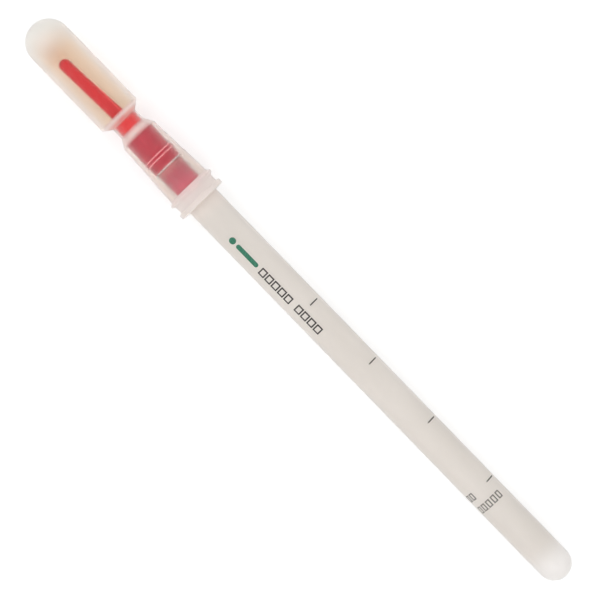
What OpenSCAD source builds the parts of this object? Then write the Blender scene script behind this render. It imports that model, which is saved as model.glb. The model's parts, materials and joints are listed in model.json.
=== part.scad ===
// Specimen swab tube: a swab that carries its own broth, lying on its side as it comes to rest.
//
// The cap is one soft, milky moulding: a bulb full of broth, a neck, and a skirt with two rings that
// slips over the mouth of the sample tube. A red snap valve plugs the neck. Bending the bulb breaks the
// valve's nib off at its notch, and the broth runs down the hollow shaft to the bud.
//
// Each piece is drawn along its own axis: z = 0 is the open end face of the skirt, +z runs down the tube
// and -z runs up into the bulb. lie_down() then lays the whole device on the table, with the bulb towards
// -X and the tube's closed end towards +X, resting on the lower ring and on the tube's round end.

/* [Sample tube] */
// Outer diameter of the tube
tube_d = 9.3; // [7.5:0.1:12]
// Wall of the tube
tube_wall = 0.7; // [0.5:0.05:1.2]
// Length of the tube that shows below the skirt, to the tip of its round end
tube_reach = 136.0; // [100:0.1:165]
// Depth of the tube's mouth inside the skirt
tube_seat = 12.9; // [9:0.1:16]
// How much smaller the tube's radius is where the skirt grips it
seat_relief = 0.2; // [0.17:0.01:0.3]
// Rounding of the tube's rim
rim_fillet = 0.2; // [0.1:0.05:0.3]

/* [Bulb] */
// Outer diameter of the bulb
bulb_d = 12.4; // [10:0.1:16]
// Wall of the bulb
bulb_wall = 1.0; // [0.7:0.05:1.3]
// Length of the bulb from the tip of its dome to where its heel starts to round
bulb_len = 31.9; // [26:0.1:45]
// Rounding inside the bulb, where its side turns into the heel
heel_round = 0.2; // [0.15:0.05:0.5]
// Steepness of the heel, from the bulb's side
heel_angle = 55; // [40:1:70]

/* [Neck and skirt] */
// Outer diameter of the neck
neck_d = 7.8; // [6.4:0.1:8.6]
// Wall of the neck
neck_wall = 0.45; // [0.3:0.05:0.7]
// Length of the neck
neck_len = 3.1; // [2:0.1:5]
// Length of the sloping shoulder
shoulder_len = 2.6; // [2:0.1:4]
// Length of the skirt, from the shoulder to its open end
skirt_len = 23.7; // [20:0.1:32]
// Wall of the skirt at its shoulder
shoulder_wall = 0.97; // [0.7:0.01:1.3]
// Wall of the skirt at the tube's rim
rim_wall = 1.32; // [0.8:0.01:1.6]
// Wall of the skirt between its two rings
mouth_wall = 1.1; // [0.8:0.05:1.5]
// How much wider, in radius, the skirt's bore is at its mouth than where it grips the tube
mouth_flare = 0.65; // [0.3:0.05:0.9]
// Length of the stretch of bore that grips the tube
grip_len = 5; // [3:0.1:8]
// Step on the outside of the skirt, level with the tube's rim
skirt_step = 0.13; // [0:0.01:0.3]

/* [Rings] */
// How far each ring stands out from the skirt
ring_height = 0.85; // [0.5:0.05:1.5]
// Width of the ring at the open end
end_ring_w = 1.5; // [1:0.1:2.5]
// Width of the upper ring at its foot
upper_ring_w = 1.9; // [1.4:0.1:3]
// Width of the upper ring at its crest
upper_ring_crest = 1.1; // [0.8:0.1:1.2]
// Space between the feet of the two rings
ring_space = 1.9; // [1:0.1:4]
// Rounding of the end ring's edges
ring_fillet = 0.35; // [0.2:0.05:0.45]

/* [Snap valve] */
// How far the barrel overhangs the tube's bore, to stop on its rim
barrel_overhang = 0.45; // [0.3:0.05:0.6]
// Width of the retaining ridge around the barrel
ridge_w = 1.1; // [0.8:0.1:2]
// Height of the retaining ridge
ridge_h = 0.22; // [0.1:0.02:0.3]
// Distance from the barrel's lower end to the ridge
ridge_gap = 2.8; // [1.5:0.1:5]
// Length of the plug that goes into the tube's mouth
plug_len = 10.4; // [6:0.1:12]
// Chamfer on the end of that plug
plug_chamfer = 0.4; // [0.2:0.05:0.6]
// How far below the neck's top the edge of the neck plug sits
neck_plug_inset = 0.2; // [0:0.05:0.5]
// Height of the dome on top of the neck plug
dome_h = 0.65; // [0.4:0.05:1]
// Length of the nib above its notch
nib_len = 20.9; // [15:0.1:24]
// Diameter of the nib at its notch, without its rib
nib_root_d = 3.45; // [3:0.05:3.9]
// Diameter of the nib at its tip
nib_tip_d = 3.35; // [2.4:0.05:3.6]
// Length of the rib along the nib's side
rib_len = 16.3; // [8:0.1:18]
// Diameter of the rib
rib_d = 2.4; // [2:0.1:2.6]
// How far the rib stands out from the nib at the notch
rib_out = 0.42; // [0.2:0.02:0.6]
// Height of the break-off notch between the neck plug and the nib
notch_h = 1.1; // [1:0.1:2.5]
// Diameter of the thin stem in the notch
stem_d = 1.9; // [1.6:0.1:2.4]
// How far the nib leans to one side, in degrees
nib_lean = 2.2; // [0:0.1:2.4]
// How far below the nib its leaning axis crosses the valve's own axis
nib_pivot = 10.4; // [6:0.1:12]
// Diameter of the channel that the broth runs through
flow_d = 1.1; // [0.8:0.1:1.3]

/* [Swab] */
// Outer diameter of the hollow shaft
shaft_d = 2.5; // [2:0.1:3]
// Bore of the hollow shaft
shaft_bore = 1.2; // [0.8:0.1:1.5]
// Depth of the valve's socket for the shaft
socket_depth = 15; // [8:0.1:18]
// How far the shaft leans to one side, in degrees
shaft_lean = 0.3; // [0:0.05:0.6]
// Diameter of the bud
bud_d = 5; // [4:0.1:5.6]
// Length of the bud
bud_len = 17; // [12:0.1:22]
// Rounding of the bud's upper end
bud_shoulder = 1; // [0.5:0.1:1]
// Free space between the bud and the bottom of the tube
bud_gap = 9.2; // [6:0.1:20]
// How far the shaft stops short of the bud's tip
bud_cover = 2.5; // [1.5:0.1:4]

/* [Broth] */
// Height of the broth's surface above the bulb's axis, at the middle of the bulb
broth_level = -0.6; // [-3:0.1:2]

/* [Rest] */
// How far the device is rolled about its own axis as it lies, in degrees
rest_roll = 5; // [-15:0.5:15]

/* [Fits] */
// Gap, in radius, between pieces that slide on each other
slide_gap = 0.05; // [0.03:0.01:0.1]
// Gap drawn between pieces that are pressed together or touch
press_gap = 0.02; // [0.01:0.01:0.05]

/* [Hidden] */

$fn = 96;
eps = 0.01;       // a cut's overlap past a face
rib_sink = 0.1;   // how much thinner the rib's upper end is, so that it ends inside the nib
far = 60;         // larger than any half of a cross-section

// Tube: radii and stations along its axis
tube_r = tube_d / 2;
tube_bore_r = tube_r - tube_wall;
tube_end = tube_reach - tube_r;
rim_z = -tube_seat;
seat_r = tube_r - seat_relief;

// Valve: its barrel overhangs the tube's bore, and its lower end stops on the rim
barrel_r = tube_bore_r + barrel_overhang;
barrel_end = rim_z - press_gap;
barrel_top = -skirt_len - press_gap;
ridge_end = barrel_end - ridge_gap;
plug_r = tube_bore_r - slide_gap;
plug_end = rim_z + plug_len;

// Cap: bores that hold the valve and the tube, and the outside around them
grip_r = seat_r + slide_gap;
mouth_r = grip_r + mouth_flare;
barrel_bore_r = barrel_r + press_gap;
shoulder_r = barrel_bore_r + shoulder_wall;
waist_r = grip_r + rim_wall;
collar_r = mouth_r + mouth_wall;
ring_r = collar_r + ring_height;
neck_r = neck_d / 2;
neck_bore_r = neck_r - neck_wall;
neck_end = -skirt_len - shoulder_len;
neck_top = neck_end - neck_len;
upper_ring_end = -end_ring_w - ring_space;

// Bulb: the heel is a fillet and then a cone at heel_angle, down to the neck
bulb_r = bulb_d / 2;
heel_fillet = bulb_wall + heel_round;
heel_c = bulb_r - heel_fillet;
heel_drop = heel_fillet * sin(heel_angle)
    + (heel_c + heel_fillet * cos(heel_angle) - neck_r) / tan(heel_angle);
heel_z = neck_top - heel_drop;
dome_z = heel_z - bulb_len + bulb_r;

// Neck plug, notch and nib
neck_plug_r = neck_bore_r - press_gap;
neck_plug_top = neck_top + neck_plug_inset;
dome_r = (neck_plug_r * neck_plug_r + dome_h * dome_h) / (2 * dome_h);
nib_z = neck_plug_top - dome_h - notch_h;
rib_root_y = nib_root_d / 2 + rib_out - rib_d / 2;
rib_top_y = (nib_root_d - (nib_root_d - nib_tip_d) * rib_len / nib_len - rib_d) / 2;
rib_angle = atan((rib_root_y - rib_top_y) / rib_len);

// Swab
socket_z = plug_end - socket_depth;
shaft_r = shaft_d / 2;
socket_r = shaft_r + press_gap;
bud_end = tube_end + tube_bore_r - bud_gap;
bud_r = bud_d / 2;

// Rest pose: the ring's lower edge and the tube's round end both touch the table
ring_edge_r = ring_r - ring_fillet;
rest_span = tube_end + ring_fillet;
rest_tilt = acos((tube_r - ring_fillet) / norm([rest_span, ring_edge_r])) - atan2(rest_span, ring_edge_r);
rest_x = ((bulb_r - dome_z * cos(rest_tilt)) - (tube_r + tube_end * cos(rest_tilt))) / 2;
rest_z = tube_r + tube_end * sin(rest_tilt);

// Lays what is drawn along +z on its side, tube end towards +X, centred and resting on z = 0
module lie_down() {
    translate([rest_x, 0, rest_z])
        rotate([0, 90 + rest_tilt, 0])
            rotate(rest_roll)
                children();
}

// Leans what is drawn along z sideways about a point on the axis
module lean(angle, pivot) {
    translate([0, 0, pivot])
        rotate([-angle, 0, 0])
            translate([0, 0, -pivot])
                children();
}

// Half of a lengthwise section, from z = top to z = end and out to radius r
module band(r, top, end) {
    translate([0, top])
        square([r, end - top]);
}

// The same with sloping sides: radius r_top at z = top, radius r_end at z = end
module taper(r_top, r_end, top, end) {
    polygon([[0, top], [r_top, top], [r_end, end], [0, end]]);
}

// The half of a disc that lies right of the axis, for a round end centred on it
module half_disc(r, z) {
    intersection() {
        translate([0, z])
            circle(r);
        band(far, z - far, z + far);
    }
}

// A band whose outer corners are rounded
module soft_band(r, top, end, fillet) {
    band(r - fillet, top, end);
    band(r, top + fillet, end - fillet);
    for (z = [top + fillet, end - fillet])
        translate([r - fillet, z])
            circle(fillet);
}

// Section of the bulb down to its neck, drawn inset from its outer surface by wall
module bulb_section(wall, neck) {
    fillet = heel_fillet - wall;
    side = heel_c + fillet;
    tangent_r = heel_c + fillet * cos(heel_angle);
    tangent_z = heel_z + fillet * sin(heel_angle);
    half_disc(side, dome_z);
    band(side, dome_z, heel_z);
    translate([heel_c, heel_z])
        circle(fillet);
    band(heel_c, heel_z - eps, heel_z + eps);
    polygon([
        [0, heel_z],
        [heel_c, heel_z],
        [tangent_r, tangent_z],
        [neck, tangent_z + (tangent_r - neck) / tan(heel_angle)],
        [0, tangent_z + (tangent_r - neck) / tan(heel_angle)]
    ]);
}

// Outside of the cap
module cap_outside() {
    bulb_section(0, neck_r);
    band(neck_r, neck_top - eps, neck_end);
    taper(neck_r, shoulder_r, neck_end, -skirt_len);
    taper(shoulder_r, waist_r, -skirt_len, rim_z);
    taper(waist_r + skirt_step, collar_r, rim_z, upper_ring_end - upper_ring_w);
    band(collar_r, upper_ring_end - upper_ring_w, -end_ring_w / 2);
    upper_ring();
    soft_band(ring_r, -end_ring_w, 0, ring_fillet);
}

// The upper ring slopes up to a rounded crest
module upper_ring() {
    crest_r = upper_ring_crest / 2;
    mid = upper_ring_end - upper_ring_w / 2;
    polygon([
        [0, mid - upper_ring_w / 2],
        [collar_r, mid - upper_ring_w / 2],
        [ring_r - crest_r, mid - crest_r],
        [ring_r - crest_r, mid + crest_r],
        [collar_r, mid + upper_ring_w / 2],
        [0, mid + upper_ring_w / 2]
    ]);
    translate([ring_r - crest_r, mid])
        circle(crest_r);
}

// Everything that is hollow inside the cap
module cap_inside() {
    bulb_section(bulb_wall, neck_bore_r);
    band(neck_bore_r, neck_top - heel_drop, neck_end + press_gap);
    taper(neck_bore_r, barrel_bore_r, neck_end, -skirt_len);
    band(barrel_bore_r, -skirt_len - eps, rim_z);
    band(barrel_bore_r + ridge_h, ridge_end - ridge_w - press_gap, ridge_end + press_gap);
    band(grip_r, rim_z - eps, rim_z + grip_len);
    taper(grip_r, mouth_r, rim_z + grip_len - eps, -end_ring_w);
    band(mouth_r, -end_ring_w - eps, eps);
}

// Outside of the valve, from its neck plug to its lower end
module valve_outside() {
    intersection() {
        translate([0, neck_plug_top - dome_h + dome_r])
            circle(dome_r);
        band(neck_plug_r, neck_plug_top - dome_h - eps, neck_plug_top + eps);
    }
    band(neck_plug_r, neck_plug_top, neck_end);
    taper(neck_plug_r, barrel_r, neck_end, barrel_top);
    band(barrel_r, barrel_top - eps, barrel_end);
    band(barrel_r + ridge_h, ridge_end - ridge_w, ridge_end);
    band(plug_r, barrel_end - eps, plug_end - plug_chamfer);
    taper(plug_r, plug_r - plug_chamfer, plug_end - plug_chamfer, plug_end);
}

// The nib with its rib, and the thin stem that it snaps off, made larger all round by room
module nib(room) {
    root_r = nib_root_d / 2 + room;
    tip_r = nib_tip_d / 2 + room;
    lean(nib_lean, nib_z + nib_pivot) {
        rotate_extrude() {
            half_disc(tip_r, nib_z - nib_len + nib_tip_d / 2);
            taper(tip_r, root_r, nib_z - nib_len + nib_tip_d / 2, nib_z + room);
            band(stem_d / 2 + room, nib_z - eps, neck_plug_top);
        }
        translate([0, rib_root_y, nib_z + room])
            rotate([-rib_angle, 0, 0])
                translate([0, 0, -rib_len])
                    cylinder(h = rib_len, r1 = rib_d / 2 - rib_sink + room, r2 = rib_d / 2 + room);
    }
}

// A plain round rod along the leaning axis of the shaft
module shaft_rod(r, top, end) {
    lean(shaft_lean, socket_z)
        rotate_extrude()
            band(r, top, end);
}

module sample_tube() {
    color("gainsboro", 0.6)
        lie_down()
            rotate_extrude()
                difference() {
                    union() {
                        half_disc(tube_r, tube_end);
                        band(tube_r, 0, tube_end);
                        band(seat_r, rim_z + rim_fillet, eps);
                        band(seat_r - rim_fillet, rim_z, rim_z + rim_fillet + eps);
                        translate([seat_r - rim_fillet, rim_z + rim_fillet])
                            circle(rim_fillet);
                    }
                    half_disc(tube_bore_r, tube_end);
                    band(tube_bore_r, rim_z - eps, tube_end);
                }
}

module bulb_cap() {
    color("antiquewhite", 0.5)
        lie_down()
            rotate_extrude()
                difference() {
                    cap_outside();
                    cap_inside();
                }
}

module snap_valve() {
    color("crimson")
        lie_down()
            difference() {
                union() {
                    rotate_extrude()
                        valve_outside();
                    nib(0);
                }
                shaft_rod(socket_r, socket_z, plug_end + far);
                lean(nib_lean, nib_z + nib_pivot)
                    rotate_extrude()
                        band(flow_d / 2, nib_z, socket_z + flow_d);
            }
}

module swab_shaft() {
    color("whitesmoke")
        lie_down()
            difference() {
                shaft_rod(shaft_r, socket_z + press_gap, bud_end - bud_cover);
                shaft_rod(shaft_bore / 2, socket_z - eps, bud_end - bud_cover + eps);
            }
}

// The bud is wound on the shaft's end: a rounded shoulder, a straight body and a round tip
module swab_bud() {
    bud_top = bud_end - bud_len;
    color("white")
        lie_down()
            difference() {
                lean(shaft_lean, socket_z)
                    rotate_extrude() {
                        half_disc(bud_r, bud_end - bud_r);
                        band(bud_r, bud_top + bud_shoulder, bud_end - bud_r);
                        band(bud_r - bud_shoulder, bud_top, bud_end - bud_r);
                        translate([bud_r - bud_shoulder, bud_top + bud_shoulder])
                            circle(bud_shoulder);
                    }
                shaft_rod(socket_r, bud_top - eps, bud_end - bud_cover + press_gap);
            }
}

// The broth fills the lower part of the bulb, up to a level surface, and wets the nib
module broth() {
    surface_z = rest_z - (dome_z + heel_z) / 2 * sin(rest_tilt) + broth_level;
    color("burlywood", 0.7)
        difference() {
            intersection() {
                lie_down()
                    rotate_extrude()
                        bulb_section(bulb_wall + slide_gap, neck_bore_r);
                translate([rest_x + dome_z - far, -far, surface_z - 2 * far])
                    cube(2 * far);
            }
            lie_down()
                nib(slide_gap);
        }
}

sample_tube();
bulb_cap();
snap_valve();
swab_shaft();
swab_bud();
broth();
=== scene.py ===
"""Specimen swab tube: a soft milky cap full of broth, a red snap valve, and a swab in a frosted sample tube.

Everything is in metres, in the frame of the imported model. A station is the distance along the device's axis
from the skirt's open end face, positive towards the tube's closed end and negative towards the bulb. A turn
is the angle around that axis, from its upper side towards +Y.
"""

import json
import math
import random

import bmesh
import bpy
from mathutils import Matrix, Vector, noise


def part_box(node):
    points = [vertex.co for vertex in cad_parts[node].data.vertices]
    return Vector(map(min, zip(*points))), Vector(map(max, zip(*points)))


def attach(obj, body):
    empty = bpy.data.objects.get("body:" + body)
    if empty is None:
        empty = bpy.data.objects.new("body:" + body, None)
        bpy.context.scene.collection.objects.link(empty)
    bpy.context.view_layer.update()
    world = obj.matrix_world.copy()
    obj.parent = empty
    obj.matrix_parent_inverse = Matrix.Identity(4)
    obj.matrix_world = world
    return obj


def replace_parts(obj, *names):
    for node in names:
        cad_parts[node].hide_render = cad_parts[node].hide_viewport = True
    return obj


MM = 0.001

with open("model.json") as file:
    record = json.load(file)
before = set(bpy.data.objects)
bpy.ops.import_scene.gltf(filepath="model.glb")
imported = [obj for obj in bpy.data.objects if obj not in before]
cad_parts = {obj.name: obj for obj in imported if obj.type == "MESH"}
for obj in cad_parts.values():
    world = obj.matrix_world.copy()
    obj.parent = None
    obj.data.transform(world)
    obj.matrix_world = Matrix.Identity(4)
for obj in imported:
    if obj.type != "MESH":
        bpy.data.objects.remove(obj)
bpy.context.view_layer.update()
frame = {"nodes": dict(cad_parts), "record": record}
nodes = frame["nodes"]

# ---------------------------------------------------------------------------------------------------------
# Places on the device
# ---------------------------------------------------------------------------------------------------------

barrel_mount = next(m for m in frame["record"]["mounts"] if m["name"] == "tube_barrel")
TUBE_R = barrel_mount["dims"]["r_mm"] * MM
TUBE_LENGTH = barrel_mount["dims"]["length_mm"] * MM
AXIS = Vector(barrel_mount["axis"]).normalized()
START = Vector(barrel_mount["pos_m"]) - AXIS * TUBE_LENGTH / 2
SIDE = Vector((0, 1, 0))
UP = AXIS.cross(SIDE)


def on_axis(station, radius=0.0, turn=0.0):
    """The point at a station, at a radius from the axis and a turn around it."""
    return START + AXIS * station + (UP * math.cos(turn) + SIDE * math.sin(turn)) * radius


def station_of(point):
    """The station of a point."""
    return (point - START).dot(AXIS)


def span(node):
    """The first and last station of a CAD node."""
    stations = [station_of(v.co) for v in nodes[node].data.vertices]
    return min(stations), max(stations)


def middle(node, start, end):
    """The middle of the box around a CAD node's vertices between two stations."""
    places = [v.co for v in nodes[node].data.vertices if start <= station_of(v.co) <= end]
    low = Vector([min(p[i] for p in places) for i in range(3)])
    high = Vector([max(p[i] for p in places) for i in range(3)])
    return (low + high) / 2


TUBE_RIM, TUBE_TIP = span("sample_tube")
DOME_TIP = span("bulb_cap")[0]
NIB_TIP = span("snap_valve")[0]

# Stations of the cap's edges and of the valve's ridge, which the frame doesn't name
HEEL = -31.6 * MM  # where the bulb starts to narrow
HEEL_BEND = HEEL + 1.1 * MM
THROAT = -29.7 * MM  # around the domed top of the neck's plug
NECK = -29.4 * MM  # where the neck starts
SHOULDER = (-26.3 * MM, -23.7 * MM)
SHOULDER_MIDDLE = sum(SHOULDER) / 2
RIDGE = (-16.8 * MM, -15.7 * MM)  # on the valve, where it holds the skirt
COLLAR = -5.3 * MM  # where the skirt's two rings start

# The nib leans a little, so its own axis comes from its vertices near its tip and near its root. At its root
# they take in the rib, which stands out towards +Y.
NIB_ROOT = (-31.3 * MM, -30.7 * MM)
NIB_R = 1.72 * MM
RIB_OUT = 0.42 * MM
nib_tip = middle("snap_valve", NIB_TIP, NIB_TIP + 3 * MM)
nib_root = middle("snap_valve", *NIB_ROOT)
nib_core = nib_root - SIDE * RIB_OUT / 2


# ---------------------------------------------------------------------------------------------------------
# Objects and the camera
# ---------------------------------------------------------------------------------------------------------

CAMERA_PLACE = (-0.17 * MM, 0.19 * MM, 873.5 * MM)
CAMERA_TURN = math.radians(45.87)
FOCAL_LENGTH = 200
SENSOR_WIDTH = 36


def add(name, data):
    """A new object in the scene."""
    made = bpy.data.objects.new(name, data)
    bpy.context.collection.objects.link(made)
    return made


def add_mesh(name, bm):
    """A new mesh object from a bmesh, which is used up."""
    mesh = bpy.data.meshes.new(name)
    bm.to_mesh(mesh)
    bm.free()
    return add(name, mesh)


def make_camera():
    """A long lens straight above, turned so that the device lies from the upper left to the lower right."""
    data = bpy.data.cameras.new("camera")
    data.lens = FOCAL_LENGTH
    data.sensor_width = SENSOR_WIDTH
    data.clip_start = 0.01
    data.clip_end = 20
    camera = add("camera", data)
    camera.location = CAMERA_PLACE
    camera.rotation_euler = (0, 0, CAMERA_TURN)
    bpy.context.scene.camera = camera


make_camera()


# ---------------------------------------------------------------------------------------------------------
# Node graphs
# ---------------------------------------------------------------------------------------------------------


class Graph:
    """A node tree, with short ways to add nodes and link them. A value is a number, a colour or a socket."""

    def __init__(self, tree):
        self.tree = tree

    def node(self, kind, **settings):
        made = self.tree.nodes.new(kind)
        for key, value in settings.items():
            setattr(made, key, value)
        return made

    def plug(self, value, socket):
        """Gives a value to an input socket."""
        if isinstance(value, bpy.types.NodeSocket):
            self.tree.links.new(value, socket)
        else:
            socket.default_value = value

    def math(self, operation, a, b=0.0):
        made = self.node("ShaderNodeMath", operation=operation)
        self.plug(a, made.inputs[0])
        self.plug(b, made.inputs[1])
        return made.outputs[0]

    def vector(self, operation, a, b=(0, 0, 0)):
        made = self.node("ShaderNodeVectorMath", operation=operation)
        self.plug(a, made.inputs[0])
        self.plug(b, made.inputs[1])
        return made.outputs["Value" if operation in ("DOT_PRODUCT", "LENGTH") else "Vector"]

    def spread(self, value, low, high, out_low=0.0, out_high=1.0):
        """Maps a value from one range to another, clamped and smooth."""
        made = self.node("ShaderNodeMapRange", interpolation_type="SMOOTHSTEP")
        names = ("Value", "From Min", "From Max", "To Min", "To Max")
        for key, x in zip(names, (value, low, high, out_low, out_high)):
            self.plug(x, made.inputs[key])
        return made.outputs[0]

    def between(self, factor, a, b):
        """A number that goes smoothly from one to another as a factor goes from 0 to 1."""
        return self.spread(factor, 0, 1, a, b)

    def near(self, value, place, reach, strength=1.0):
        """Strength at a place, falling smoothly to 0 at its reach."""
        away = self.math("ABSOLUTE", self.math("SUBTRACT", value, place))
        return self.spread(away, 0, reach, strength, 0)

    def most(self, *values):
        """The largest of several values."""
        total = values[0]
        for value in values[1:]:
            total = self.math("MAXIMUM", total, value)
        return total

    def mix(self, factor, a, b):
        """A mix of two colours."""
        made = self.node("ShaderNodeMix", data_type="RGBA")
        self.plug(factor, made.inputs["Factor"])
        self.plug(a, made.inputs[6])
        self.plug(b, made.inputs[7])
        return made.outputs[2]


class Material(Graph):
    """A material with one Principled shader, whose sockets are written with _ for a space."""

    def __init__(self, name, **values):
        self.material = bpy.data.materials.new(name)
        self.material.use_nodes = True
        super().__init__(self.material.node_tree)
        self.shader = self.tree.nodes["Principled BSDF"]
        self.coords = self.node("ShaderNodeTexCoord").outputs["Object"]
        self.set(**values)

    def set(self, **sockets):
        """Gives values to the shader's sockets."""
        for key, value in sockets.items():
            self.plug(value, self.shader.inputs[key.replace("_", " ")])

    def noise(self, scale, detail=2.0, stretch=(1, 1, 1)):
        """Noise from 0 to 1 with features of about 1 / scale metres, stretched along X, Y and Z."""
        mapping = self.node("ShaderNodeMapping")
        self.plug(self.coords, mapping.inputs["Vector"])
        mapping.inputs["Scale"].default_value = [1 / s for s in stretch]
        made = self.node("ShaderNodeTexNoise")
        self.plug(mapping.outputs[0], made.inputs["Vector"])
        made.inputs["Scale"].default_value = scale
        made.inputs["Detail"].default_value = detail
        return made.outputs["Fac"]

    def station(self):
        """The station along the device."""
        return self.math("SUBTRACT", self.vector("DOT_PRODUCT", self.coords, AXIS), START.dot(AXIS))

    def from_line(self, start, end):
        """The distance from the line through two points."""
        offset = self.vector("SUBTRACT", self.coords, start)
        return self.vector("LENGTH", self.vector("CROSS_PRODUCT", offset, (end - start).normalized()))

    def bump(self, height, strength, distance):
        """Gives the surface a fine relief."""
        made = self.node("ShaderNodeBump")
        self.plug(height, made.inputs["Height"])
        made.inputs["Strength"].default_value = strength
        made.inputs["Distance"].default_value = distance
        self.set(Normal=made.outputs[0])

    def absorb(self, colour, density):
        """Light that passes through loses the rest of this colour."""
        made = self.node("ShaderNodeVolumeAbsorption")
        made.inputs["Color"].default_value = colour
        made.inputs["Density"].default_value = density
        self.plug(made.outputs[0], self.tree.nodes["Material Output"].inputs["Volume"])


# ---------------------------------------------------------------------------------------------------------
# Materials
# ---------------------------------------------------------------------------------------------------------

DOME_FADE = (DOME_TIP + 1 * MM, DOME_TIP + 12 * MM)
COLLAR_EDGE = (COLLAR - 0.1 * MM, COLLAR + 0.1 * MM)
RELIEF = 0.05 * MM


def tube_plastic():
    """Frosted polypropylene, clear where the skirt grips it, with painted light beside the skirt against the
    shadow of its rings, and lighter at its tip.
    """
    g = Material("tube_plastic", IOR=1.08, Coat_Weight=0.3, Coat_Roughness=0.3, Coat_IOR=1.45)
    g.set(Sheen_Weight=0.2, Sheen_Roughness=0.4)
    clouds = g.noise(120, 3, stretch=(3, 1, 1))
    grain = g.noise(1400, 3)
    station = g.station()
    gripped = g.spread(station, COLLAR, 0.4 * MM, 1, 0)
    # Painted light: the tube is lighter beside the skirt, where the skirt's rings cast their shadow.
    painted_light_beside_skirt = g.spread(station, 0.5 * MM, 6 * MM, 0.8, 0)
    tip = g.spread(station, TUBE_TIP - 12 * MM, TUBE_TIP - 4 * MM)
    rim_haze = g.near(station, TUBE_RIM, 0.45 * MM, 0.6)

    frosted = g.mix(clouds, (0.95, 0.905, 0.86, 1), (0.83, 0.785, 0.735, 1))
    frosted = g.mix(painted_light_beside_skirt, frosted, (0.98, 0.905, 0.85, 1))
    frosted = g.mix(tip, frosted, (0.97, 0.94, 0.915, 1))
    clear = g.math("SUBTRACT", g.between(gripped, 0.4, 0.97), rim_haze)
    clear = g.math("SUBTRACT", clear, g.between(tip, 0, 0.12))
    g.set(Base_Color=g.mix(gripped, frosted, (0.935, 0.91, 0.89, 1)))
    g.set(Roughness=g.between(gripped, 0.36, 0.29), Transmission_Weight=clear)
    g.bump(grain, 0.06, RELIEF)
    return g.material


def milky_plastic():
    """Soft natural polyethylene, hazier where it is thick or bent: the dome, heel, shoulder and collar. The
    paler dome, heel and shoulder are partly that haze and partly a painted highlight.
    """
    g = Material("milky_plastic", IOR=1.05, Coat_Weight=0.25, Coat_Roughness=0.25, Coat_IOR=1.45)
    g.set(Sheen_Weight=0.8, Sheen_Roughness=0.48)
    clouds = g.noise(160, 2, stretch=(2, 1, 1))
    station = g.station()
    collar_top = g.spread(station, COLLAR, COLLAR + 2.2 * MM, 0.9, 0)

    bulb = g.mix(clouds, (0.99, 0.975, 0.96, 1), (0.985, 0.965, 0.945, 1))
    skirt = g.mix(clouds, (0.985, 0.95, 0.94, 1), (0.98, 0.94, 0.93, 1))
    collar = g.mix(clouds, (1.0, 0.95, 0.93, 1), (0.98, 0.93, 0.91, 1))
    collar = g.mix(collar_top, collar, (1.0, 0.89, 0.87, 1))
    body = g.mix(g.spread(station, NECK, SHOULDER[1]), bulb, skirt)
    # Partly a painted highlight: the dome is paler towards its tip.
    body = g.mix(g.spread(station, *DOME_FADE, 1, 0), body, (0.99, 0.99, 0.96, 1))
    # Partly a painted highlight: a pale pink band where the heel bends.
    body = g.mix(g.near(station, HEEL_BEND, 1.3 * MM), body, (1.0, 0.87, 0.85, 1))
    body = g.mix(g.near(station, THROAT, 0.9 * MM), body, (0.98, 0.5, 0.46, 1))
    # Partly a painted highlight: a pale band over the shoulder.
    body = g.mix(g.near(station, SHOULDER_MIDDLE, 1.7 * MM), body, (1.0, 0.88, 0.84, 1))
    # The haze at the dome, heel and shoulder is partly a painted highlight.
    haze = g.most(
        g.spread(station, *DOME_FADE, 0.6, 0),
        g.near(station, HEEL_BEND, 1.1 * MM, 0.5),
        g.near(station, THROAT, 0.9 * MM, 0.3),
        g.near(station, SHOULDER_MIDDLE, 1.7 * MM, 0.5),
        g.near(station, TUBE_RIM, 0.3 * MM, 0.1),
        g.spread(station, TUBE_RIM, COLLAR, 0, 0.03),
        g.spread(station, *COLLAR_EDGE, 0, 0.46),
    )
    g.set(Base_Color=g.mix(g.spread(station, *COLLAR_EDGE), body, collar))
    g.set(Roughness=g.spread(haze, 0, 0.45, 0.29, 0.36), Transmission_Weight=g.math("SUBTRACT", 0.995, haze))
    g.absorb((0.8, 0.67, 0.54, 1), 115)
    return g.material


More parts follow.
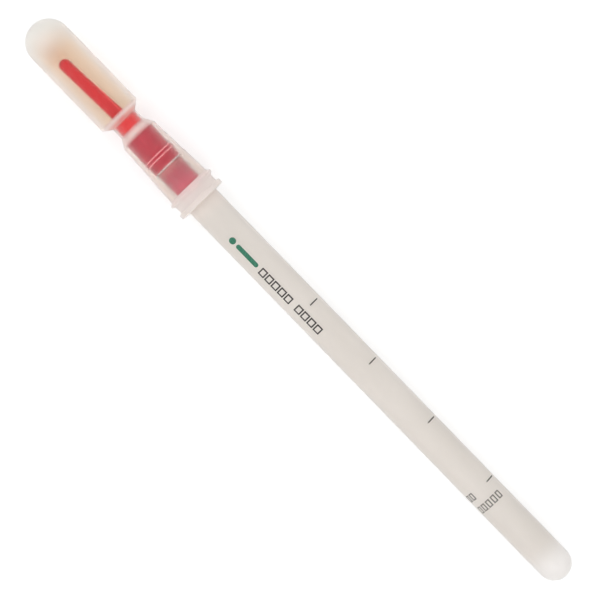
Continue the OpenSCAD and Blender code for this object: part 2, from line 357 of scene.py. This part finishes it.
def red_plastic():
    """Red polyethylene. The nib and neck look brighter than the thick barrel, partly as painted shade on the
    barrel, and edges look lighter. Painted highlights lie along the nib's rib and the ridge's edges, and
    painted light lifts the barrel's foot by the tube's rim.
    """
    g = Material("red_plastic", Roughness=0.28, IOR=1.2, Sheen_Weight=0.5, Sheen_Roughness=0.45)
    grain = g.noise(900, 3)
    station = g.station()
    from_nib_axis = g.from_line(nib_tip, nib_core)
    # Painted highlight: the rib is a little paler, with a bright line where it meets the nib.
    rib = g.spread(from_nib_axis, NIB_R + 0.02 * MM, NIB_R + 0.06 * MM)
    painted_crease_highlight = g.near(from_nib_axis, NIB_R + 0.09 * MM, 0.07 * MM)
    # Painted light: the barrel's foot by the tube's rim is lifted to pink against the shade there.
    painted_light_at_barrel_foot = g.near(station, TUBE_RIM + 0.9 * MM, 2 * MM, 0.4)
    # Painted highlight: pale lines along the ridge's two edges.
    painted_ridge_highlights = [g.near(station, edge, 0.27 * MM) for edge in RIDGE]

    nib = g.mix(grain, (0.6, 0.004, 0.01, 1), (0.54, 0.003, 0.008, 1))
    nib = g.mix(rib, nib, (0.6, 0.02, 0.025, 1))
    nib = g.mix(painted_crease_highlight, nib, (0.95, 0.09, 0.1, 1))
    # The barrel is darker than the neck and nib, partly because a thick section looks deeper and partly as
    # painted shade.
    neck = g.mix(grain, (0.74, 0.018, 0.022, 1), (0.69, 0.015, 0.019, 1))
    barrel = g.mix(grain, (0.49, 0.018, 0.048, 1), (0.44, 0.015, 0.043, 1))
    plug = g.mix(grain, (0.68, 0.022, 0.11, 1), (0.63, 0.018, 0.1, 1))
    plug = g.mix(g.spread(station, COLLAR - 3.5 * MM, COLLAR), plug, (0.95, 0.04, 0.16, 1))
    body = g.mix(g.spread(station, HEEL, NECK), nib, neck)
    body = g.mix(g.spread(station, SHOULDER[1] - 0.3 * MM, SHOULDER[1]), body, barrel)
    body = g.mix(g.spread(station, TUBE_RIM - 0.5 * MM, TUBE_RIM + 4 * MM), body, plug)
    g.set(Base_Color=g.mix(g.most(painted_light_at_barrel_foot, *painted_ridge_highlights), body, (1.0, 0.42, 0.45, 1)))
    g.bump(grain, 0.08, RELIEF)
    return g.material


def shaft_plastic():
    """Pale polypropylene, with a faint grain along it."""
    g = Material("shaft_plastic", Roughness=0.4, IOR=1.5)
    grain = g.noise(900, 3, stretch=(6, 1, 1))
    g.set(Base_Color=g.mix(grain, (0.84, 0.8, 0.75, 1), (0.78, 0.73, 0.68, 1)))
    g.bump(grain, 0.08, RELIEF)
    return g.material


def bud_fibre():
    """Wound fibre, with fine strands across the bud."""
    g = Material("bud_fibre", Roughness=0.95, IOR=1.4, Sheen_Weight=0.4, Sheen_Roughness=0.6)
    strands = g.noise(1500, 4, stretch=(1, 3, 1))
    g.set(Base_Color=g.mix(strands, (0.92, 0.9, 0.86, 1), (0.8, 0.77, 0.72, 1)))
    g.bump(strands, 0.6, 2 * RELIEF)
    return g.material


def broth_liquid():
    """Straw-coloured broth, darker where it is deep, with a painted pink glow where it lies against the nib.
    """
    g = Material("broth_liquid", Roughness=0.12, IOR=1.03, Transmission_Weight=1.0)
    # Painted glow: the nib's red light, as if scattered into the broth beside it.
    painted_red_glow_beside_nib = g.spread(g.from_line(nib_tip, nib_root), 1.6 * MM, 3.2 * MM, 1, 0)
    clouds = g.noise(300, 2)
    straw = g.mix(clouds, (1.0, 0.985, 0.96, 1), (0.985, 0.965, 0.93, 1))
    g.set(Base_Color=g.mix(painted_red_glow_beside_nib, straw, (1.0, 0.84, 0.78, 1)))
    g.absorb((0.77, 0.41, 0.04, 1), 125)
    return g.material


def ink(name, dark, light):
    """Screen-printed ink, a little uneven."""
    g = Material(name, IOR=1.45)
    grain = g.noise(2500, 3)
    g.set(Base_Color=g.mix(g.spread(grain, 0.35, 0.75), dark, light))
    g.set(Roughness=g.spread(grain, 0.3, 0.7, 0.42, 0.6))
    return g.material


materials = {
    "tube_plastic": tube_plastic(),
    "milky_plastic": milky_plastic(),
    "red_plastic": red_plastic(),
    "shaft_plastic": shaft_plastic(),
    "bud_fibre": bud_fibre(),
    "broth_liquid": broth_liquid(),
    "dark_ink": ink("dark_ink", (0.03, 0.026, 0.026, 1), (0.075, 0.065, 0.06, 1)),
    "green_ink": ink("green_ink", (0.015, 0.15, 0.085, 1), (0.05, 0.22, 0.14, 1)),
}

# ---------------------------------------------------------------------------------------------------------
# Pieces
# ---------------------------------------------------------------------------------------------------------

SOFT_EDGE = 0.06 * MM
HARD_EDGE = 0.08 * MM
EDGE_ANGLE = math.radians(25)
SAME_PLACE = 0.001 * MM


def piece(name, bm, slot, body, smooth=True):
    """Makes a mesh object that rides on a body and has a slot's material."""
    bmesh.ops.recalc_face_normals(bm, faces=bm.faces)
    made = add_mesh(name, bm)
    made.data.materials.append(materials[slot])
    if smooth:
        made.data.shade_smooth()
    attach(made, body)
    return made


def skin(bm, rings):
    """Joins rings of vertices, each with as many points, into a closed skin with flat ends."""
    count = len(rings[0])
    for first, second in zip(rings, rings[1:]):
        for i in range(count):
            j = (i + 1) % count
            bm.faces.new((first[i], first[j], second[j], second[i]))
    bm.faces.new(rings[0])
    bm.faces.new(rings[-1])


def finish_node(node, slot, edge=0.0):
    """Gives a CAD node its material, and rounds its edges slightly."""
    made = nodes[node]
    made.data.materials.clear()
    made.data.materials.append(materials[slot])
    if edge:
        weld = made.modifiers.new("weld", "WELD")
        weld.merge_threshold = SAME_PLACE
        bevel = made.modifiers.new("bevel", "BEVEL")
        bevel.width = edge
        bevel.segments = 2
        bevel.limit_method = "ANGLE"
        bevel.angle_limit = EDGE_ANGLE
        bevel.harden_normals = True


# ---------------------------------------------------------------------------------------------------------
# Broth: it fills the bulb up to a level surface, which curls up where it meets the wall and the nib
# ---------------------------------------------------------------------------------------------------------

BULB_R = 6.2 * MM
CAVITY_R = 5.2 * MM
NECK_BORE_R = 3.45 * MM
WALL_OVERLAP = 0.03 * MM
MENISCUS = 0.12 * MM
MENISCUS_REACH = 0.5 * MM
NIB_MENISCUS = 0.6  # as a share of the meniscus at the wall
NIB_HALF_WIDTH = 1.65 * MM  # at the broth's surface
LEAST_REACH = 0.05 * MM


def cavity_radius(station):
    """The bulb's inner radius: a dome, a straight side, and a cone down to the neck."""
    dome_middle = DOME_TIP + BULB_R
    if station < dome_middle:
        return math.sqrt(max(CAVITY_R ** 2 - (dome_middle - station) ** 2, 0))
    if station < HEEL:
        return CAVITY_R
    along = min((station - HEEL) / (NECK - HEEL), 1)
    return CAVITY_R + (NECK_BORE_R - CAVITY_R) * along


def surface_rise(across, reach, nib_offset, past_tip):
    """How far the broth's surface curls up at a distance across it."""
    rise = math.exp((abs(across) - reach) / MENISCUS_REACH)
    if past_tip:
        beside = max(abs(across - nib_offset) - NIB_HALF_WIDTH, 0)
        rise = max(rise, NIB_MENISCUS * math.exp(-beside / MENISCUS_REACH))
    return MENISCUS * rise


def broth_outline(station, level):
    """The broth's outline at a station, as places beside and above the axis. It is empty where all is dry."""
    arc_points, top_points = 40, 28
    radius = cavity_radius(station) + WALL_OVERLAP
    flat = (level - on_axis(station).z) / UP.z
    rim = flat + MENISCUS
    if radius <= abs(rim) + LEAST_REACH:
        return []
    reach = math.sqrt(radius ** 2 - rim ** 2)
    edge = math.atan2(reach, rim)
    past_tip = (station - station_of(nib_tip)) / (station_of(nib_root) - station_of(nib_tip))
    nib_offset = (nib_tip + (nib_root - nib_tip) * past_tip).y
    outline = []
    for i in range(arc_points):
        turn = edge + (2 * math.pi - 2 * edge) * i / (arc_points - 1)
        outline.append((math.sin(turn) * radius, math.cos(turn) * radius))
    for i in range(1, top_points - 1):
        across = -reach + 2 * reach * i / (top_points - 1)
        outline.append((across, flat + surface_rise(across, reach, nib_offset, past_tip > 0)))
    return outline


def broth():
    """The pool of broth, in sections that lie closer together towards its ends."""
    sections = 90
    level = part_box("broth")[1].z
    first, last = span("broth")
    bm = bmesh.new()
    rings = []
    for k in range(1, sections):
        station = first + (last - first) * (1 - math.cos(math.pi * k / sections)) / 2
        outline = broth_outline(station, level)
        if outline:
            centre = on_axis(station)
            rings.append([bm.verts.new(centre + SIDE * y + UP * z) for y, z in outline])
    skin(bm, rings)
    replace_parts(piece("broth_pool", bm, "broth_liquid", "swab"), "broth")


# ---------------------------------------------------------------------------------------------------------
# Bud: fibre wound in slanting turns round the end of the shaft, with stray fibres over it
# ---------------------------------------------------------------------------------------------------------

BUD_R = 2.45 * MM
BUD_SHOULDER = 1.0 * MM
WINDING_PITCH = 1.1 * MM
WINDING_DEPTH = 0.07 * MM
CROSS_PITCH = WINDING_PITCH * 1.7
CROSS_SHARE = 0.6
FLUFF_DEPTH = 0.13 * MM
FLUFF_SIZE = 0.9 * MM
FIBRES = 150
FIBRE_R = 0.022 * MM
FIBRE_STEPS = 10
FIBRE_WAVE = 0.04
FIBRE_MARGINS = (0.3 * MM, 0.6 * MM)  # from the bud's shoulder and tip

bud_first, bud_last = span("swab_bud")
BUD_LENGTH = bud_last - bud_first
shaft_top = span("swab_shaft")[0]
bud_middle = middle("swab_bud", bud_first, bud_last)
bud_axis = (bud_middle - middle("swab_shaft", shaft_top - MM, shaft_top + MM)).normalized()
bud_side = bud_axis.cross(UP).normalized()
bud_up = bud_side.cross(bud_axis)
bud_start = bud_middle - bud_axis * (station_of(bud_middle) - bud_first)


def bud_radius(along):
    """The wound bud's plain radius: a rounded shoulder, a straight body and a round tip."""
    if along < BUD_SHOULDER:
        return BUD_R - BUD_SHOULDER + math.sqrt(BUD_SHOULDER ** 2 - (BUD_SHOULDER - along) ** 2)
    left = BUD_LENGTH - along
    if left < BUD_R:
        return math.sqrt(max(BUD_R ** 2 - (BUD_R - left) ** 2, 0))
    return BUD_R


def bud_point(along, angle, lift=0.0):
    """A point on the bud's fluffy surface, or lifted off it. The relief fades out at the bud's ends."""
    around = bud_side * math.cos(angle) + bud_up * math.sin(angle)
    place = bud_start + bud_axis * along + around * BUD_R
    winding = math.sin(2 * math.pi * along / WINDING_PITCH + angle)
    winding += CROSS_SHARE * math.sin(2 * math.pi * along / CROSS_PITCH - 2 * angle)
    fluff = noise.fractal(place / FLUFF_SIZE, 1.0, 2.0, 3)
    full = bud_radius(along)
    relief = WINDING_DEPTH * winding + FLUFF_DEPTH * fluff
    radius = full + relief * min(full / BUD_R * 1.3, 1) + lift
    return bud_start + bud_axis * along + around * max(radius, 0.02 * MM)


def bud():
    """The wound bud, in rings that lie closer together towards its ends."""
    steps, around = 150, 84
    end = 0.001  # keeps the first and last ring off the bud's very ends
    bm = bmesh.new()
    rings = []
    for k in range(steps + 1):
        along = BUD_LENGTH * (end + (1 - 2 * end) * (1 - math.cos(math.pi * k / steps)) / 2)
        rings.append([bm.verts.new(bud_point(along, 2 * math.pi * i / around)) for i in range(around)])
    skin(bm, rings)
    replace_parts(piece("bud_winding", bm, "bud_fibre", "swab"), "swab_bud")


def fibre_line(along, angle, slant, length, lift):
    """The points of a wavy fibre that lies over the winding, centred at a place on the bud."""
    first, last = FIBRE_MARGINS[0], BUD_LENGTH - FIBRE_MARGINS[1]
    points = []
    for i in range(FIBRE_STEPS + 1):
        step = (i / FIBRE_STEPS - 0.5) * length
        wave = FIBRE_WAVE * math.sin(i * 1.1 + angle * 5)
        at = min(max(along + step * math.sin(slant), first), last)
        points.append(bud_point(at, angle + step * math.cos(slant) / BUD_R + wave, lift))
    return points


def strand(bm, points):
    """A thin three-sided strand along a fibre's points."""
    corners = [2 * math.pi * corner / 3 for corner in range(3)]
    rings = []
    for i, point in enumerate(points):
        ahead = (points[min(i + 1, FIBRE_STEPS)] - points[max(i - 1, 0)]).normalized()
        offset = point - bud_start
        out = (offset - bud_axis * offset.dot(bud_axis)).normalized()
        across = ahead.cross(out).normalized()
        ring = [point + (out * math.cos(a) + across * math.sin(a)) * FIBRE_R for a in corners]
        rings.append([bm.verts.new(p) for p in ring])
    skin(bm, rings)


def bud_fibres():
    """Single stray fibres."""
    draw = random.Random(7)
    bm = bmesh.new()
    for _ in range(FIBRES):
        along = draw.uniform(0.06, 0.9) * BUD_LENGTH
        angle = draw.uniform(0, 2 * math.pi)
        slant = draw.uniform(-1.2, 1.2)
        length = draw.uniform(2.0, 5.0) * MM
        lift = draw.uniform(0.0, 0.06) * MM
        strand(bm, fibre_line(along, angle, slant, length, lift))
    piece("bud_stray_fibres", bm, "bud_fibre", "swab", smooth=False)


# ---------------------------------------------------------------------------------------------------------
# Print on the tube: graduation marks, and plain marks where the tube has its printed fields
# ---------------------------------------------------------------------------------------------------------

INK_SUNK = 0.02 * MM
INK_PROUD = 0.012 * MM


def print_patch(bm, start, end, low_of, high_of, columns=1):
    """A thin patch of ink from one station to another, between two turns that may follow the station."""
    across = 10
    rings = []
    for c in range(columns + 1):
        station = start + (end - start) * c / columns
        low, high = low_of(station), high_of(station)
        turns = [low + (high - low) * i / across for i in range(across + 1)]
        below = [bm.verts.new(on_axis(station, TUBE_R - INK_SUNK, turn)) for turn in turns]
        above = [bm.verts.new(on_axis(station, TUBE_R + INK_PROUD, turn)) for turn in turns]
        rings.append(below + above[::-1])
    skin(bm, rings)


def print_bar(bm, start, end, low, high):
    """A straight bar of ink between two stations and two turns."""
    print_patch(bm, start, end, lambda s: low, lambda s: high)


def print_capsule(bm, start, end, turn, height):
    """A bar with round ends."""
    radius = height / 2
    least = 0.02 * MM

    def half(station):
        inside = min(station - start, end - station, radius)
        return math.sqrt(max(radius ** 2 - (radius - inside) ** 2, least ** 2)) / TUBE_R

    print_patch(bm, start, end, lambda s: turn - half(s), lambda s: turn + half(s), columns=48)


def print_box(bm, start, end, turn, height, line):
    """An open box to write in, drawn with four bars."""
    half, edge = height / 2 / TUBE_R, line / TUBE_R
    print_bar(bm, start, start + line, turn - half, turn + half)
    print_bar(bm, end - line, end, turn - half, turn + half)
    print_bar(bm, start + line, end - line, turn - half, turn - half + edge)
    print_bar(bm, start + line, end - line, turn + half - edge, turn + half)


def graduations():
    """Four evenly spaced lines, each printed a little further around the tube than the last."""
    first, step, line = 38.8 * MM, 21.57 * MM, 0.31 * MM
    turns, arc = (32.8, 37.6, 42.2, 46.6), 38
    bm = bmesh.new()
    for i, turn in enumerate(turns):
        station = first + step * i
        low, high = math.radians(turn - arc / 2), math.radians(turn + arc / 2)
        print_bar(bm, station - line / 2, station + line / 2, low, high)
    piece("graduation_marks", bm, "dark_ink", "tube", smooth=False)


def colour_code():
    """A green dot and bar."""
    turn = math.radians(-21.5)
    bm = bmesh.new()
    print_capsule(bm, 11.9 * MM, 13.8 * MM, turn, 1.9 * MM)
    print_capsule(bm, 14.4 * MM, 22.2 * MM, turn, 1.3 * MM)
    piece("colour_code", bm, "green_ink", "tube", smooth=False)


def sample_boxes():
    """Two rows of open boxes for a sample number."""
    turn, line = math.radians(-23.5), 0.37 * MM
    pitch, length, height = 2.35 * MM, 2.0 * MM, 2.2 * MM
    bm = bmesh.new()
    for first, count in ((23.3 * MM, 5), (36.6 * MM, 4)):
        for i in range(count):
            start = first + pitch * i
            print_box(bm, start, start + length, turn, height, line)
    piece("sample_number_boxes", bm, "dark_ink", "tube", smooth=False)


def date_boxes():
    """Two short rows of boxes around the tube, for a date."""
    pitch, length, width, line = 22, 2.1 * MM, 1.2 * MM, 0.24 * MM
    bm = bmesh.new()
    for start, first_turn, count in ((102.8 * MM, -45, 2), (106.9 * MM, 27, 5)):
        for i in range(count):
            turn = math.radians(first_turn - pitch * i)
            print_box(bm, start, start + length, turn, width, line)
    piece("date_boxes", bm, "dark_ink", "tube", smooth=False)


finish_node("sample_tube", "tube_plastic")
finish_node("bulb_cap", "milky_plastic", edge=SOFT_EDGE)
finish_node("snap_valve", "red_plastic", edge=HARD_EDGE)
finish_node("swab_shaft", "shaft_plastic")
broth()
bud()
bud_fibres()
graduations()
colour_code()
sample_boxes()
date_boxes()

# ---------------------------------------------------------------------------------------------------------
# Floor, world and lamps
# ---------------------------------------------------------------------------------------------------------

FLOOR_SIZE = 6
FLOOR_COLOUR = (0.7, 0.7, 0.7, 1)
FLOOR_LIFT = 0.45
FLOOR_LIFT_THROUGH = 0.5
WHITE = (1, 1, 1, 1)
WALL_TOP = 0.6
CEILING_EDGE = 0.95
CEILING = 0.3


def make_floor():
    """A pale floor that looks white to the camera and through plastic, with the object's faint shadow."""
    bm = bmesh.new()
    bmesh.ops.create_grid(bm, x_segments=1, y_segments=1, size=FLOOR_SIZE)
    floor = add_mesh("floor", bm)
    g = Material("floor", Base_Color=FLOOR_COLOUR, Roughness=1, Specular_IOR_Level=0, Emission_Color=WHITE)
    path = g.node("ShaderNodeLightPath").outputs
    seen = g.most(path["Is Camera Ray"], path["Is Glossy Ray"])
    direct = g.math("MULTIPLY", seen, FLOOR_LIFT)
    through = g.math("MULTIPLY", path["Is Transmission Ray"], FLOOR_LIFT_THROUGH)
    g.set(Emission_Strength=g.most(direct, through))
    floor.data.materials.append(g.material)


def make_world():
    """Light walls under a dimmer ceiling, as in a light tent, and plain white as seen through plastic."""
    world = bpy.data.worlds.new("world")
    bpy.context.scene.world = world
    world.use_nodes = True
    g = Graph(world.node_tree)
    direction = g.node("ShaderNodeTexCoord").outputs["Generated"]
    height = g.vector("DOT_PRODUCT", direction, (0, 0, 1))
    tent = g.spread(height, WALL_TOP, CEILING_EDGE, 1, CEILING)
    through = g.node("ShaderNodeLightPath").outputs["Is Transmission Ray"]
    background = g.tree.nodes["Background"].inputs
    g.plug(WHITE, background["Color"])
    g.plug(g.most(tent, through), background["Strength"])


def lamp(name, azimuth, elevation, width, height, power):
    """A soft box a metre away that faces the object. Azimuth 0 is towards +X and 90 towards +Y."""
    data = bpy.data.lights.new(name, "AREA")
    data.shape = "RECTANGLE"
    data.size = width
    data.size_y = height
    data.energy = power
    made = add(name, data)
    a, e = math.radians(azimuth), math.radians(elevation)
    made.location = (math.cos(a) * math.cos(e), math.sin(a) * math.cos(e), math.sin(e))
    made.rotation_mode = "QUATERNION"
    made.rotation_quaternion = made.location.to_track_quat("Z", "Y")


make_floor()
make_world()
lamp("key", azimuth=-25, elevation=60, width=1.4, height=0.42, power=2.9)
lamp("fill", azimuth=180, elevation=60, width=1.0, height=0.4, power=1.7)
bpy.context.scene.view_settings.view_transform = "Standard"
